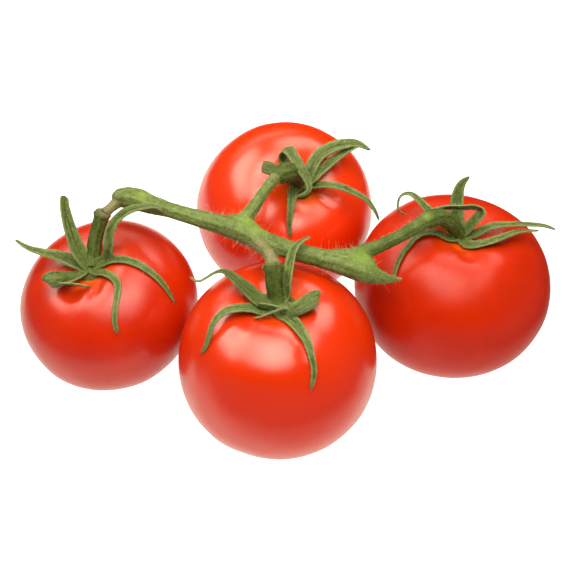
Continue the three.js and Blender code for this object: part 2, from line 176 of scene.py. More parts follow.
SEPALS = {
    "left": [
        {
            "root": 7.0, "roll": 50, "turn": (0, 10),
            "points": [
                [-5.7, 1.6, 3.0, 6.4], [-12.3, 3.0, 5.0, 5.2], [-17.5, 3.8, 6.0, 3.6],
                [-23.0, 6.1, 6.5, 2.1], [-26.6, 8.0, 8.0, 1.0],
            ],
        },
        {
            "root": 7.0, "roll": 60, "turn": (0, 10),
            "points": [
                [-4.2, 2.7, 6.5, 7.0], [-6.6, 6.0, 11.5, 6.2], [-8.4, 9.8, 16.5, 5.2],
                [-9.2, 12.9, 20.2, 4.4], [-9.2, 15.6, 21.8, 4.0],
            ],
        },
        {
            "root": 4.6, "roll": 60, "turn": (40, 30),
            "points": [
                [5.2, 1.4, 5.0, 4.4], [6.6, 2.0, 11.0, 4.3], [7.4, 4.8, 16.0, 4.0],
                [10.6, 7.0, 20.0, 3.6], [14.2, 7.6, 22.5, 3.0], [19.4, 8.2, 23.5, 2.3],
                [23.5, 8.0, 23.5, 1.6], [25.4, 6.4, 22.6, 1.0],
            ],
        },
        {
            "root": 4.4, "roll": 50, "turn": (0, 0),
            "points": [
                [4.9, 0.6, 2.4, 3.8], [9.4, 0.2, 3.6, 3.4], [15.0, -1.8, 3.0, 3.0],
                [19.0, -4.0, 1.2, 2.6], [22.6, -6.4, -1.6, 2.1], [25.4, -9.2, -6.4, 0.8],
            ],
        },
        {
            "root": 4.4, "roll": 60, "turn": (0, 0),
            "points": [
                [2.3, -2.6, 1.5, 4.0], [6.6, -6.0, 3.4, 3.4], [9.6, -9.6, 3.6, 2.9],
                [10.0, -12.2, 1.4, 2.4], [9.2, -14.8, -2.0, 2.0], [8.6, -16.8, -6.8, 1.8],
                [9.4, -18.2, -9.8, 1.4],
            ],
        },
        {
            "root": 5.2, "roll": 280, "turn": (180, 180),
            "points": [
                [-3.7, -3.4, 3.4, 6.0], [-7.6, -5.6, 5.2, 9.0], [-10.4, -7.2, 6.8, 13.0],
                [-12.6, -8.2, 7.6, 14.0], [-14.2, -8.8, 7.4, 12.5], [-15.4, -9.2, 6.9, 9.0],
                [-16.2, -9.4, 5.9, 3.0],
            ],
        },
        {
            "root": 2.6, "roll": 40, "turn": (0, 0),
            "points": [
                [-4.5, -5.0, 2.8, 2.8], [-8.6, -8.2, 3.4, 3.0], [-9.6, -9.8, 4.2, 3.2],
                [-7.0, -10.4, 4.6, 3.4], [-3.4, -10.6, 4.2, 3.0], [0.6, -10.6, 3.4, 1.4],
            ],
        },
    ],
    "front": [
        {
            "root": 7.0, "roll": 40, "turn": (0, 0),
            "points": [
                [-5.2, -0.6, 3.4, 7.0], [-10.8, 3.1, 6.2, 6.2], [-15.0, 6.2, 8.2, 4.6],
                [-18.5, 8.6, 8.6, 2.2], [-21.4, 8.2, 8.0, 1.1], [-24.1, 6.9, 7.0, 0.9],
                [-26.5, 6.0, 6.5, 0.9], [-29.4, 7.6, 7.0, 1.1],
            ],
        },
        {
            "root": 6.0, "roll": 50, "turn": (0, 0),
            "points": [
                [-5.2, -4.2, 2.6, 5.2], [-9.4, -4.8, 4.4, 4.8], [-13.5, -5.6, 5.2, 4.2],
                [-17.5, -7.0, 5.0, 3.4], [-20.6, -9.4, 3.4, 2.6], [-22.2, -11.8, 0.6, 2.1],
                [-23.2, -14.0, -4.0, 1.7], [-24.8, -14.8, -6.6, 1.1],
            ],
        },
        {
            "root": 6.4, "roll": 50, "turn": (0, 0),
            "points": [
                [1.2, -5.2, 2.0, 5.6], [4.6, -9.1, 3.2, 5.0], [7.6, -13.6, 2.8, 4.0],
                [9.6, -17.2, 0.8, 3.0], [10.6, -20.4, -2.4, 2.4], [10.6, -22.4, -6.2, 2.0],
                [9.0, -24.4, -10.8, 1.3],
            ],
        },
        {
            "root": 8.0, "roll": 290, "turn": (180, 180),
            "points": [
                [2.4, -4.2, 4.0, 10.0], [4.6, -3.8, 6.2, 13.5], [7.4, -3.0, 7.8, 14.5],
                [9.8, -2.2, 9.0, 14.5], [11.6, -1.6, 9.6, 13.0], [12.9, -1.2, 9.3, 9.5],
                [13.7, -1.0, 8.4, 3.0],
            ],
        },
        {
            "root": 4.0, "roll": 50, "turn": (0, 0),
            "points": [
                [2.6, 1.6, 3.4, 3.8], [3.2, 4.2, 7.4, 4.0], [4.0, 8.6, 10.8, 4.2], [5.0, 12.8, 12.8, 3.8],
                [6.8, 16.4, 13.6, 3.0], [11.0, 19.6, 14.0, 1.8],
            ],
        },
        {
            "root": 2.6, "roll": 40, "turn": (0, 0),
            "points": [
                [4.5, -4.2, 4.5, 2.6], [1.0, -6.2, 5.4, 2.6], [-3.6, -7.8, 4.6, 2.2],
                [-7.8, -9.0, 4.0, 1.0],
            ],
        },
        {
            "root": 2.6, "roll": 40, "turn": (0, 0),
            "points": [
                [4.5, -4.0, 2.0, 2.6], [6.2, -5.4, 3.2, 2.8], [2.5, -6.4, 5.2, 2.6],
                [-2.0, -5.8, 6.2, 2.4], [-6.6, -4.2, 6.0, 1.4],
            ],
        },
    ],
    "right": [
        {
            "root": 4.6, "roll": 50, "turn": (0, 0),
            "points": [
                [-4.7, 1.2, 5.0, 4.4], [-9.2, 3.5, 8.0, 4.3], [-12.6, 5.9, 10.0, 4.0],
                [-15.3, 8.6, 11.5, 3.2], [-18.0, 10.7, 12.0, 2.4], [-20.5, 11.1, 11.0, 1.8],
                [-21.8, 9.6, 9.0, 1.5], [-21.5, 7.7, 7.0, 1.3], [-19.5, 6.4, 6.2, 0.8],
            ],
        },
        {
            "root": 5.4, "roll": 40, "turn": (0, 0),
            "points": [
                [-1.0, 2.8, 4.0, 5.4], [-1.6, 7.1, 8.0, 5.2], [-1.2, 10.1, 12.0, 4.6],
                [0.0, 12.7, 14.5, 3.2], [3.0, 15.4, 16.0, 0.8],
            ],
        },
        {
            "root": 5.0, "roll": 40, "turn": (0, 0),
            "points": [
                [2.4, 0.7, 5.0, 5.0], [5.2, 1.5, 9.0, 4.6], [7.0, 2.4, 11.4, 4.0], [5.2, 3.4, 12.4, 3.6],
                [0.5, 4.2, 11.8, 3.2], [-5.4, 5.0, 11.0, 2.8], [-11.2, 5.0, 9.4, 1.6],
            ],
        },
        {
            "root": 4.4, "roll": 50, "turn": (0, 0),
            "points": [
                [3.9, -0.7, 3.0, 4.2], [10.3, 0.9, 5.5, 3.6], [18.1, 2.0, 5.5, 2.8],
                [23.9, 2.5, 5.0, 2.4], [29.4, 2.8, 4.0, 1.8], [33.0, 2.4, 2.8, 0.9],
            ],
        },
        {
            "root": 5.0, "roll": 40, "turn": (0, 0),
            "points": [
                [2.3, -5.1, 2.0, 5.0], [7.2, -6.0, 4.0, 4.6], [13.5, -4.1, 5.0, 3.9],
                [19.5, -1.2, 5.0, 2.8], [27.0, 1.0, 3.6, 0.9],
            ],
        },
        {
            "root": 4.4, "roll": 50, "turn": (0, 0),
            "points": [
                [-4.8, -3.1, 2.0, 4.0], [-9.3, -1.9, 4.0, 3.6], [-12.8, -2.5, 5.5, 3.1],
                [-16.0, -4.4, 5.5, 2.6], [-18.1, -7.2, 3.5, 2.2], [-19.6, -10.2, 0.0, 1.9],
                [-20.2, -13.0, -4.0, 1.6], [-20.0, -14.6, -6.8, 1.0],
            ],
        },
    ],
    "back": [
        {
            "root": 5.0, "roll": 240, "turn": (180, 180),
            "points": [
                [-3.6, 3.0, 2.4, 7.0], [-8.0, 4.0, 4.8, 8.6], [-11.2, 4.6, 6.2, 8.8],
                [-13.4, 5.0, 6.4, 8.4],
            ],
        },
        {
            "root": 4.2, "roll": 50, "turn": (0, 0),
            "points": [
                [-4.0, 3.0, 4.0, 4.2], [-6.4, 5.9, 9.0, 4.4], [-6.4, 5.9, 13.0, 4.4],
                [-4.8, 4.3, 15.8, 4.4], [-2.4, 0.4, 16.0, 4.0], [0.2, -4.2, 14.0, 3.6],
                [2.4, -7.4, 11.8, 2.9], [3.0, -10.0, 9.4, 1.9], [1.4, -11.6, 8.6, 1.2],
                [-1.6, -12.2, 7.8, 0.8],
            ],
        },
        {
            "root": 5.2, "roll": 40, "turn": (0, 0),
            "points": [
                [2.8, 2.4, 5.0, 5.2], [6.5, 8.1, 8.6, 5.4], [10.6, 10.0, 10.8, 5.2],
                [15.3, 10.9, 12.0, 4.6], [20.1, 11.4, 12.0, 3.4], [25.2, 9.7, 10.5, 0.9],
            ],
        },
        {
            "root": 5.0, "roll": 40, "turn": (0, 0),
            "points": [
                [3.2, -0.2, 4.0, 5.2], [7.6, 2.8, 6.4, 5.2], [12.6, 6.6, 8.8, 4.8],
                [17.4, 9.4, 10.6, 3.6], [21.6, 11.0, 11.8, 1.2],
            ],
        },
        {
            "root": 4.0, "roll": 50, "turn": (0, 0),
            "points": [
                [4.2, -1.2, 3.0, 4.0], [8.9, -2.9, 5.0, 3.7], [13.6, -4.9, 6.0, 3.4],
                [18.4, -6.6, 5.0, 2.9], [23.0, -8.4, 3.2, 2.3], [26.0, -10.4, 0.4, 1.7],
                [28.0, -12.4, -3.2, 0.8],
            ],
        },
        {
            "root": 4.2, "roll": 50, "turn": (0, 0),
            "points": [
                [-2.5, -3.3, 2.0, 4.0], [-3.0, -8.6, 3.5, 3.2], [-3.6, -13.1, 2.0, 2.4],
                [-3.9, -15.7, -2.0, 1.9], [-3.9, -16.9, -7.0, 1.4],
            ],
        },
    ],
}

SEPAL_ROOT = [0, 0, 2.2]        # where the sepals start above the bottom of the hollow
SEPAL_GAP = 0.8                 # from a sepal's points to the skin
BLADE_GAP = 0.5                 # from the middle of a blade's thickness to the skin
BLADE_THICK = 0.6
BLADE_COLUMNS = 70
BLADE_ROWS = 13                 # an odd number, so that one row runs down the middle
MIDRIB_DEPTH = 0.14             # how far the midrib is sunk, as a share of half the width
MIDRIB_REACH = 0.1              # and how far it reaches to each side, as the same share
BLADE_END = 0.05                # share of the length over which its end is rounded
BLADE_BLUNT = 0.2               # share of the width that is left at the very end
DISC_RADII = {"left": 5.4, "front": 6.2, "right": 4.6, "back": 4.0}     # what the sepals grow from
DISC_THICK = 2.8

# The mesh of the greens, and the marks on it

RIB_LOW = 0.95                  # the radius between the ribs of a stem and on them, as shares
RIB_HIGH = 1.02
CALYX_VOXEL = 0.22              # size of the mesh cells
CALYX_SMOOTHING = 4             # how many times the new mesh is smoothed
STEM_VOXEL = 0.3
STEM_SMOOTHING = 10
BUMP_WIDTH = 3.0
BUMP_HEIGHT = 0.35
GRAIN_ALONG = 0.12              # how fast the grain changes along a stem or a blade, next to across it
BEAD_GAP = 0.25                 # between the places on a route that the grain is measured from

# Hairs: how many, how long and thick, and how far they lean. spots are the places where they are denser,
# as [x, y, z, reach], and even is how dense they are away from the spots, next to the middle of one.

HAIR_STEPS = 3
HAIR_TAPER = 0.72               # how much thinner each step is than the one below
HAIR_BEND = 0.25                # how far the tip hangs over, as a share of the length
SHORT_HAIRS = {
    "count": 1400, "length": (0.3, 1.0), "thick": 0.045, "lean": 0.35, "even": 1.0, "spots": [], "seed": 3,
}
STEM_HAIRS = {
    "count": 2600, "length": (0.3, 1.3), "thick": 0.05, "lean": 0.3, "even": 1.0, "spots": [], "seed": 5,
}
LONG_HAIRS = {
    "count": 260, "length": (1.4, 4.2), "thick": 0.055, "lean": 0.25, "even": 0.06, "seed": 8,
    "spots": [
        [-24.0, -8.0, 62.0, 8.0], [-12.0, -14.0, 61.0, 8.0], [-20.0, -2.0, 66.0, 4.0],
        [20.0, -17.0, 63.0, 6.0],
    ],
}

# Where the greens change: how strongly, to what colour, and in what places: [x, y, z, reach]. shaded and
# dark are painted shade, purple makes the underside of the stem and a patch on the front calyx a darker
# purple-brown, and yellow and brown are the greens' own colour.

SPOTS = {
    # painted shade: darker on the right stalk and on the front-left sepal
    "shaded": {
        "share": 0.75, "tint": (0.035, 0.055, 0.004, 1.0),
        "places": [
            [27.0, -15.5, 63.0, 4.5], [34.0, -12.5, 64.0, 5.0], [41.0, -8.8, 65.0, 5.0],
            [46.0, -5.0, 66.0, 3.5], [-14.0, -33.1, 62.4, 6.0], [-19.5, -29.0, 64.6, 5.0],
        ],
    },
    "purple": {
        "share": 0.8, "tint": (0.085, 0.058, 0.014, 1.0),
        "places": [
            [-17.0, -12.6, 62.8, 3.2], [-12.0, -15.2, 62.4, 3.0], [-23.0, -9.8, 62.8, 2.8],
            [-29.0, -6.6, 63.2, 2.4], [29.0, -26.0, 56.6, 2.4], [22.0, -25.0, 59.2, 2.2],
            [-14.6, -30.4, 65.4, 1.8],
        ],
    },
    "yellow": {
        "share": 0.7, "tint": (0.19, 0.28, 0.04, 1.0),
        "places": [
            [-49.6, 6.4, 67.8, 2.4], [-13.0, -6.6, 68.0, 3.6], [-9.6, -10.4, 67.4, 3.0],
            [26.0, -20.4, 64.2, 4.0], [48.0, -3.6, 67.4, 1.6], [-7.2, -28.4, 68.4, 1.6],
            [0.0, -28.6, 67.6, 1.6],
        ],
    },
    "brown": {
        "share": 1.0, "tint": (0.22, 0.16, 0.09, 1.0),
        "places": [
            [-61.0, 6.0, 62.0, 2.6], [-62.6, 4.8, 61.4, 2.2], [-59.4, 8.6, 62.4, 2.6],
            [-59.6, 10.4, 63.4, 2.0], [39.3, -22.4, 55.8, 2.2], [37.0, -23.4, 55.2, 1.6],
            [34.0, -25.0, 54.6, 1.4], [-5.6, -24.6, 69.0, 3.0], [-8.2, -18.2, 67.4, 2.6],
            [-4.2, -28.4, 69.4, 2.4], [-30.0, -29.0, 63.0, 2.4], [-5.1, 16.8, 66.8, 1.2],
            [3.5, 23.4, 61.0, 1.6],
        ],
    },
    # painted shade: nearly black in the gap under the back stalk and at the end of the rolled front sepal
    "dark": {
        "share": 1.0, "tint": (0.03, 0.028, 0.006, 1.0),
        "places": [
            [3.4, 23.2, 58.6, 2.2], [10.8, -38.8, 61.4, 1.7],
        ],
    },
}

# Tools for the pieces


def place(x, y, z):
    """A point of the layout, in the frame's metres."""
    return (Vector((x, y, z)) + MIDDLE) * MM


def pick(*pieces):
    """Selects only these pieces, the first as the active one."""
    bpy.ops.object.select_all(action="DESELECT")
    for piece in pieces:
        piece.select_set(True)
    bpy.context.view_layer.objects.active = pieces[0]


def apply(piece, kind, **settings):
    """Adds one modifier to the piece, sets it and applies it."""
    pick(piece)
    modifier = piece.modifiers.new(kind, kind)
    for name, value in settings.items():
        setattr(modifier, name, value)
    bpy.ops.object.modifier_apply(modifier=modifier.name)


def choose(piece, wanted, kind="vertices"):
    """Goes into edit mode with only the vertices or faces selected that pass the test."""
    pick(piece)
    bpy.ops.object.mode_set(mode="EDIT")
    bpy.ops.mesh.select_mode(type="VERT" if kind == "vertices" else "FACE")
    bpy.ops.mesh.select_all(action="DESELECT")
    bpy.ops.object.mode_set(mode="OBJECT")
    for part in getattr(piece.data, "vertices" if kind == "vertices" else "polygons"):
        part.select = wanted(part)
    bpy.ops.object.mode_set(mode="EDIT")


def leave_editing():
    bpy.ops.object.mode_set(mode="OBJECT")


def smooth(piece):
    pick(piece)
    bpy.ops.object.shade_smooth()


def keep_marks(piece, name, values):
    """Stores one number for each vertex, which the materials read."""
    marks = piece.data.attributes.new(name, "FLOAT", "POINT")
    marks.data.foreach_set("value", np.asarray(values, dtype=np.float32))


def near_spots(piece, spots):
    """For each vertex, 1 in the middle of a spot and 0 away from all of them."""
    places = corners(piece)
    nearness = np.zeros(len(places))
    for x, y, z, reach in spots:
        distance = np.linalg.norm(places - np.array(place(x, y, z)), axis=1) / MM
        nearness = np.maximum(nearness, np.exp(-((distance / reach) ** 2)))
    return nearness


def paint(piece, routes):
    """Stores the marks that the green materials read: spots by place, some of them painted shade, and a
    grain along the routes.
    """
    for name, spots in SPOTS.items():
        keep_marks(piece, name, near_spots(piece, spots["places"]) * spots["share"])
    beads = kdtree.KDTree(len(routes))
    for number, spot in enumerate(routes):
        beads.insert(spot, number)
    beads.balance()
    places = corners(piece)
    grain = np.empty_like(places)
    for number, spot in enumerate(places):
        bead = np.array(beads.find(spot)[0])
        grain[number] = spot - bead * (1 - GRAIN_ALONG)
    kept = piece.data.attributes.new("grain", "FLOAT_VECTOR", "POINT")
    kept.data.foreach_set("vector", grain.astype(np.float32).ravel())


def bead_places(stations):
    """Places close together along a line of points."""
    beads = []
    for start, end in zip(stations, stations[1:]):
        steps = max(1, int((end - start).length / (BEAD_GAP * MM)))
        beads += [start.lerp(end, step / steps) for step in range(steps)]
    return beads + [stations[-1]]


def corners(piece):
    """The places of a piece's vertices as rows of an array."""
    flat = np.empty(3 * len(piece.data.vertices), dtype=np.float64)
    piece.data.vertices.foreach_get("co", flat)
    return flat.reshape(-1, 3)


def cloud_texture(name, width):
    texture = bpy.data.textures.new(name, "CLOUDS")
    texture.noise_scale = width * MM
    return texture


def add_curve(name, stations, turn=(0.0, 0.0)):
    """A smooth curve through the stations, each a place and a radius, turned about itself on the way."""
    bpy.ops.curve.primitive_bezier_curve_add()
    curve = bpy.context.object
    curve.name = name
    spline = curve.data.splines[0]
    spline.bezier_points.add(len(stations) - 2)
    for i, (point, (spot, radius)) in enumerate(zip(spline.bezier_points, stations)):
        point.co = spot
        point.handle_left_type = "AUTO"
        point.handle_right_type = "AUTO"
        point.radius = radius
        point.tilt = math.radians(turn[0] + (turn[1] - turn[0]) * i / (len(stations) - 1))
    return curve


def add_stem(name, points, section):
    """A solid stem along the points, with its ends closed."""
    stem = add_curve(name, [(place(x, y, z), radius) for x, y, z, radius in points])
    stem.data.bevel_mode = "OBJECT"
    stem.data.bevel_object = section
    stem.data.use_fill_caps = True
    pick(stem)
    bpy.ops.object.convert(target="MESH")
    stem = bpy.context.object
    choose(stem, lambda vertex: True)
    bpy.ops.mesh.remove_doubles(threshold=MERGE_GAP * MM)
    bpy.ops.mesh.normals_make_consistent(inside=False)
    leave_editing()
    return stem


def add_section():
    """The outline of a stem one millimetre in radius, with eight soft ribs."""
    bpy.ops.curve.primitive_bezier_circle_add(radius=MM)
    section = bpy.context.object
    section.name = "stem_section"
    bpy.ops.object.mode_set(mode="EDIT")
    bpy.ops.curve.subdivide(number_cuts=3)
    bpy.ops.object.mode_set(mode="OBJECT")
    for i, point in enumerate(section.data.splines[0].bezier_points):
        point.handle_left_type = "AUTO"
        point.handle_right_type = "AUTO"
        point.co *= RIB_LOW if i % 2 else RIB_HIGH
    return section


def join(*pieces):
    pick(*pieces)
    bpy.ops.object.join()
    return bpy.context.object


def remesh(piece, cell, soften):
    """Makes the joined solids one closed surface with rounded inner corners."""
    pick(piece)
    piece.data.remesh_voxel_size = cell * MM
    piece.data.use_remesh_preserve_attributes = True
    bpy.ops.object.voxel_remesh()
    apply(piece, "SMOOTH", factor=0.5, iterations=soften)


# Fruits


def push(skin, x, y, z, distance, reach):
    """Moves the skin's vertex nearest to a point along its normal, and what lies round it less and less."""
    spot = place(x, y, z)
    nearest = min(skin.data.vertices, key=lambda vertex: (vertex.co - spot).length_squared)
    number = nearest.index
    step = nearest.normal * distance * MM
    choose(skin, lambda vertex: vertex.index == number)
    bpy.ops.transform.translate(
        value=step, use_proportional_edit=True, proportional_edit_falloff="SMOOTH",
        proportional_size=reach * MM,
    )
    leave_editing()


def make_skin(side):
    """One fruit's skin: the solid made smooth, dented and marked round its stem end."""
    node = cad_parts[f"tomato_{side}"]
    skin = bpy.data.objects.new(f"skin_{side}", node.data.copy())
    bpy.context.collection.objects.link(skin)
    skin.data.materials.clear()
    choose(skin, lambda vertex: True)
    bpy.ops.mesh.remove_doubles(threshold=MERGE_GAP * MM)
    bpy.ops.mesh.customdata_custom_splitnormals_clear()
    bpy.ops.mesh.tris_convert_to_quads(
        face_threshold=math.radians(QUAD_ANGLE), shape_threshold=math.radians(QUAD_SKEW),
    )
    leave_editing()
    choose(skin, lambda face: face.center.z < FLAT_HEIGHT * MM and face.normal.z < LOOKS_DOWN, "faces")
    bpy.ops.mesh.dissolve_faces()
    bpy.ops.mesh.inset(thickness=BOTTOM_INSET * MM)
    leave_editing()
    apply(skin, "SUBSURF", levels=SKIN_LEVELS, render_levels=SKIN_LEVELS)
    dents = cloud_texture("dents", DENT_WIDTH)
    apply(skin, "DISPLACE", texture=dents, strength=DENT_DEPTH * MM, mid_level=0.5)
    for row in PUSHES[side]:
        push(skin, *row)
    for vertex in skin.data.vertices:
        vertex.co.z = max(vertex.co.z, 0.0)
    smooth(skin)
    from_hollow = np.linalg.norm(corners(skin) - np.array(place(*HOLLOWS[side])), axis=1) / MM
    keep_marks(skin, "stem_end", np.exp(-((from_hollow / HOLLOW_REACH) ** 2)))
    return skin


# Calyxes


def make_blade():
    """One flat sepal blade that stands on edge, two metres long and wide, to be copied, rolled and bent."""
    bpy.ops.mesh.primitive_grid_add(
        x_subdivisions=BLADE_COLUMNS, y_subdivisions=BLADE_ROWS - 1, size=2, location=(0, 0, 0),
        rotation=(math.pi / 2, 0, 0),
    )
    bpy.ops.object.transform_apply(location=False, rotation=True, scale=False)
    blade = bpy.context.object
    blade.name = "blade"
    keep_marks(blade, "along", [(vertex.co.x + 1) / 2 for vertex in blade.data.vertices])
    keep_marks(blade, "across", [vertex.co.z for vertex in blade.data.vertices])
    keep_marks(blade, "leafy", [1.0] * len(blade.data.vertices))
    choose(blade, lambda vertex: abs(vertex.co.z) < MIDRIB_REACH)
    bpy.ops.transform.translate(value=(0, MIDRIB_DEPTH, 0))
    leave_editing()
    for vertex in blade.data.vertices:
        past = max(0.0, (vertex.co.x + 1) / 2 - (1 - BLADE_END)) / BLADE_END
        vertex.co.z *= math.sqrt(max(BLADE_BLUNT ** 2, 1 - past ** 2))
    return blade


def clear_of(skin, point, gap):
    """The point itself, or one moved straight off the skin where it is nearer than the gap."""
    spot, normal, _, _ = skin.find_nearest(point)
    height = (point - spot).dot(normal)
    return point if height > gap * MM else spot + normal * gap * MM


def make_sepal(side, number, sepal, blade, skin, skin_tree):
    """A copy of the blade, rolled, bent along its route and kept off the skin, and places along it."""
    root = place(*HOLLOWS[side])
    steps = [SEPAL_ROOT + [sepal["root"]]] + sepal["points"]
    stations = [
        (clear_of(skin_tree, root + Vector(step[:3]) * MM, SEPAL_GAP), step[3] / 2 * MM) for step in steps
    ]
    flat = [90 + angle for angle in sepal["turn"]]
    route = add_curve(f"route_{side}_{number}", stations, flat)
    route.data.use_stretch = True
    route.data.use_deform_bounds = True
    piece = blade.copy()
    piece.data = blade.data.copy()
    piece.name = f"sepal_{side}_{number}"
    bpy.context.collection.objects.link(piece)
    apply(
        piece, "SIMPLE_DEFORM", deform_method="BEND", deform_axis="X", angle=math.radians(sepal["roll"]),
    )
    apply(piece, "CURVE", object=route, deform_axis="POS_X")
    apply(
        piece, "SHRINKWRAP", target=skin, wrap_method="NEAREST_SURFACEPOINT", wrap_mode="OUTSIDE",
        offset=BLADE_GAP * MM,
    )
    apply(piece, "SOLIDIFY", thickness=BLADE_THICK * MM, offset=0.0)
    bpy.data.objects.remove(route)
    return piece, bead_places([spot for spot, _ in stations])


def make_disc(side, skin_tree):
    """The small disc in the bottom of the hollow, which the sepals grow from."""
    hollow = place(*HOLLOWS[side])
    _, normal, _, _ = skin_tree.find_nearest(hollow)
    turn = Vector((0, 0, 1)).rotation_difference(normal).to_euler()
    bpy.ops.mesh.primitive_uv_sphere_add(
        segments=24, ring_count=12, radius=DISC_RADII[side] * MM,
        location=hollow + normal * DISC_THICK / 2 * MM, rotation=turn,
        scale=(1, 1, DISC_THICK / 2 / DISC_RADII[side]),
    )
    disc = bpy.context.object
    bpy.ops.object.transform_apply(location=True, rotation=True, scale=True)
    return disc


def make_calyx(side, blade, section, skin):
    """One fruit's green star, with the lower half of its stalk."""
    skin_tree = BVHTree.FromObject(skin, bpy.context.evaluated_depsgraph_get())
    parts = [add_stem(f"stalk_{side}", LOWER_STALKS[side], section), make_disc(side, skin_tree)]
    beads = bead_places([place(x, y, z) for x, y, z, _ in LOWER_STALKS[side]])
    for number, sepal in enumerate(SEPALS[side]):
        piece, piece_beads = make_sepal(side, number, sepal, blade, skin, skin_tree)
        parts.append(piece)
        beads += piece_beads
    calyx = join(*parts)
    calyx.name = f"green_{side}"
    remesh(calyx, CALYX_VOXEL, CALYX_SMOOTHING)
    paint(calyx, beads)
    smooth(calyx)
    return calyx


# The stem


def make_rachis(section):
    """The main stem with its filled forks and the upper halves of the stalks."""
    parts = [add_stem("rachis_route", RACHIS, section)]
    parts += [add_stem(f"upper_{side}", UPPER_STALKS[side], section) for side in SIDES]
    parts += [add_stem("fork", points, section) for points in FORKS]
    rachis = join(*parts)
    rachis.name = "green_rachis"
    remesh(rachis, STEM_VOXEL, STEM_SMOOTHING)
    bumps = cloud_texture("stem_bumps", BUMP_WIDTH)
    apply(rachis, "DISPLACE", texture=bumps, strength=BUMP_HEIGHT * MM, mid_level=0.5)
    beads = []
    for route in (RACHIS, *UPPER_STALKS.values()):
        beads += bead_places([place(x, y, z) for x, y, z, _ in route])
    paint(rachis, beads)
    smooth(rachis)
    return rachis


# Hairs


def make_hair():
    """One straight, tapered hair with three sides on the origin, one metre long and one thick."""
    bpy.ops.mesh.primitive_circle_add(vertices=3, radius=0.5, fill_type="NGON", location=(0, 0, 0))
    hair = bpy.context.object
    hair.name = "hair"
    bpy.ops.object.mode_set(mode="EDIT")
    bpy.ops.mesh.select_all(action="SELECT")
    for _ in range(HAIR_STEPS):
        bpy.ops.mesh.extrude_region_move(TRANSFORM_OT_translate={"value": (0, 0, 1 / HAIR_STEPS)})
        bpy.ops.transform.resize(value=(HAIR_TAPER, HAIR_TAPER, 1))
    bpy.ops.object.mode_set(mode="OBJECT")
    return hair


def add_hairs(name, host, hair, kind, material):
    """Copies the hair all over the host, each upright on a face with its own size, lean and turn."""
    dice = np.random.default_rng(kind["seed"])
    places = corners(host)
    host.data.calc_loop_triangles()
    triangles = np.empty(3 * len(host.data.loop_triangles), dtype=np.int64)
    host.data.loop_triangles.foreach_get("vertices", triangles)
    a, b, c = (places[column] for column in triangles.reshape(-1, 3).T)
    across = np.cross(b - a, c - a)
    areas = np.linalg.norm(across, axis=1)
    chances = areas * (kind["even"] + sum(
        np.exp(-(np.linalg.norm(a - np.array(place(x, y, z)), axis=1) / (reach * MM)) ** 2)
        for x, y, z, reach in kind["spots"]
    ))
    chosen = dice.choice(len(a), size=kind["count"], p=chances / chances.sum())
    shares = dice.dirichlet((1, 1, 1), size=kind["count"])
    roots = shares[:, :1] * a[chosen] + shares[:, 1:2] * b[chosen] + shares[:, 2:] * c[chosen]
    upright = across[chosen] / areas[chosen, None] + dice.normal(0, kind["lean"], (kind["count"], 3))
    upright /= np.linalg.norm(upright, axis=1)[:, None]
    sideways = np.cross(upright, dice.normal(size=(kind["count"], 3)))
    sideways /= np.linalg.norm(sideways, axis=1)[:, None]
    third = np.cross(upright, sideways)
    lengths = dice.uniform(*kind["length"], kind["count"])[:, None, None] * MM
    thick = kind["thick"] * MM
    shape = corners(hair)
    x, y, z = (shape[None, :, axis, None] for axis in range(3))
    spots = (
        roots[:, None, :] + upright[:, None, :] * z * lengths
        + sideways[:, None, :] * (x * thick + HAIR_BEND * z ** 2 * lengths) + third[:, None, :] * y * thick
    )
    faces = [list(face.vertices) for face in hair.data.polygons]
    mesh = bpy.data.meshes.new(name)
    mesh.from_pydata(
        spots.reshape(-1, 3).tolist(), [],
        [[corner + i * len(shape) for corner in face] for i in range(kind["count"]) for face in faces],
    )
    piece = bpy.data.objects.new(name, mesh)
    bpy.context.collection.objects.link(piece)
    smooth(piece)
    wear(piece, material)
    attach(piece, "root")
    return piece


# Materials

BLOTCH_RED = (0.60, 0.026, 0.0, 1.0)
SPECK_RED = (0.75, 0.055, 0.003, 1.0)
HOLLOW_ORANGE = (0.80, 0.12, 0.003, 1.0)
SPECK_GREEN = (0.030, 0.036, 0.002, 1.0)
TIP_BROWN = (0.14, 0.085, 0.04, 1.0)
HAIR_CREAM = (0.52, 0.52, 0.32, 1.0)

# The dark, light and pale green of the stalks, the sepals and the main stem

STALK_GREENS = (0.026, 0.036, 0.001, 1.0), (0.078, 0.106, 0.016, 1.0), (0.17, 0.22, 0.07, 1.0)
LEAF_GREENS = (0.024, 0.036, 0.001, 1.0), (0.124, 0.168, 0.036, 1.0), (0.29, 0.35, 0.15, 1.0)
STEM_GREENS = (0.054, 0.074, 0.004, 1.0), (0.155, 0.210, 0.055, 1.0), (0.26, 0.34, 0.14, 1.0)


def start_material(name):
    """A new material and its shader."""
    material = bpy.data.materials.new(name)
    material.use_nodes = True
    return material, material.node_tree, material.node_tree.nodes["Principled BSDF"]


def add_node(tree, kind, settings=None, **inputs):
    """Adds a node. An input is a number, a colour or another node's output."""
    node = tree.nodes.new(kind)
    for name, value in (settings or {}).items():
        setattr(node, name, value)
    for name, value in inputs.items():
        socket = node.inputs[name.replace("_", " ")]
        if isinstance(value, bpy.types.NodeSocket):
            tree.links.new(value, socket)
        else:
            socket.default_value = value
    return node


def noise(tree, width, detail=3.0, roughness=0.5):
    """Noise whose blotches are about this many millimetres wide."""
    coordinates = add_node(tree, "ShaderNodeTexCoord").outputs["Object"]
    node = add_node(
        tree, "ShaderNodeTexNoise", Vector=coordinates, Scale=1 / (width * MM), Detail=detail,
        Roughness=roughness,
    )
    return node.outputs["Fac"]


def height_above_surface(tree):
    coordinates = add_node(tree, "ShaderNodeTexCoord").outputs["Object"]
    return add_node(tree, "ShaderNodeSeparateXYZ", Vector=coordinates).outputs["Z"]


def marks(tree, name):
    """The numbers kept on a piece's vertices under this name."""
    return add_node(tree, "ShaderNodeAttribute", {"attribute_name": name}).outputs["Fac"]


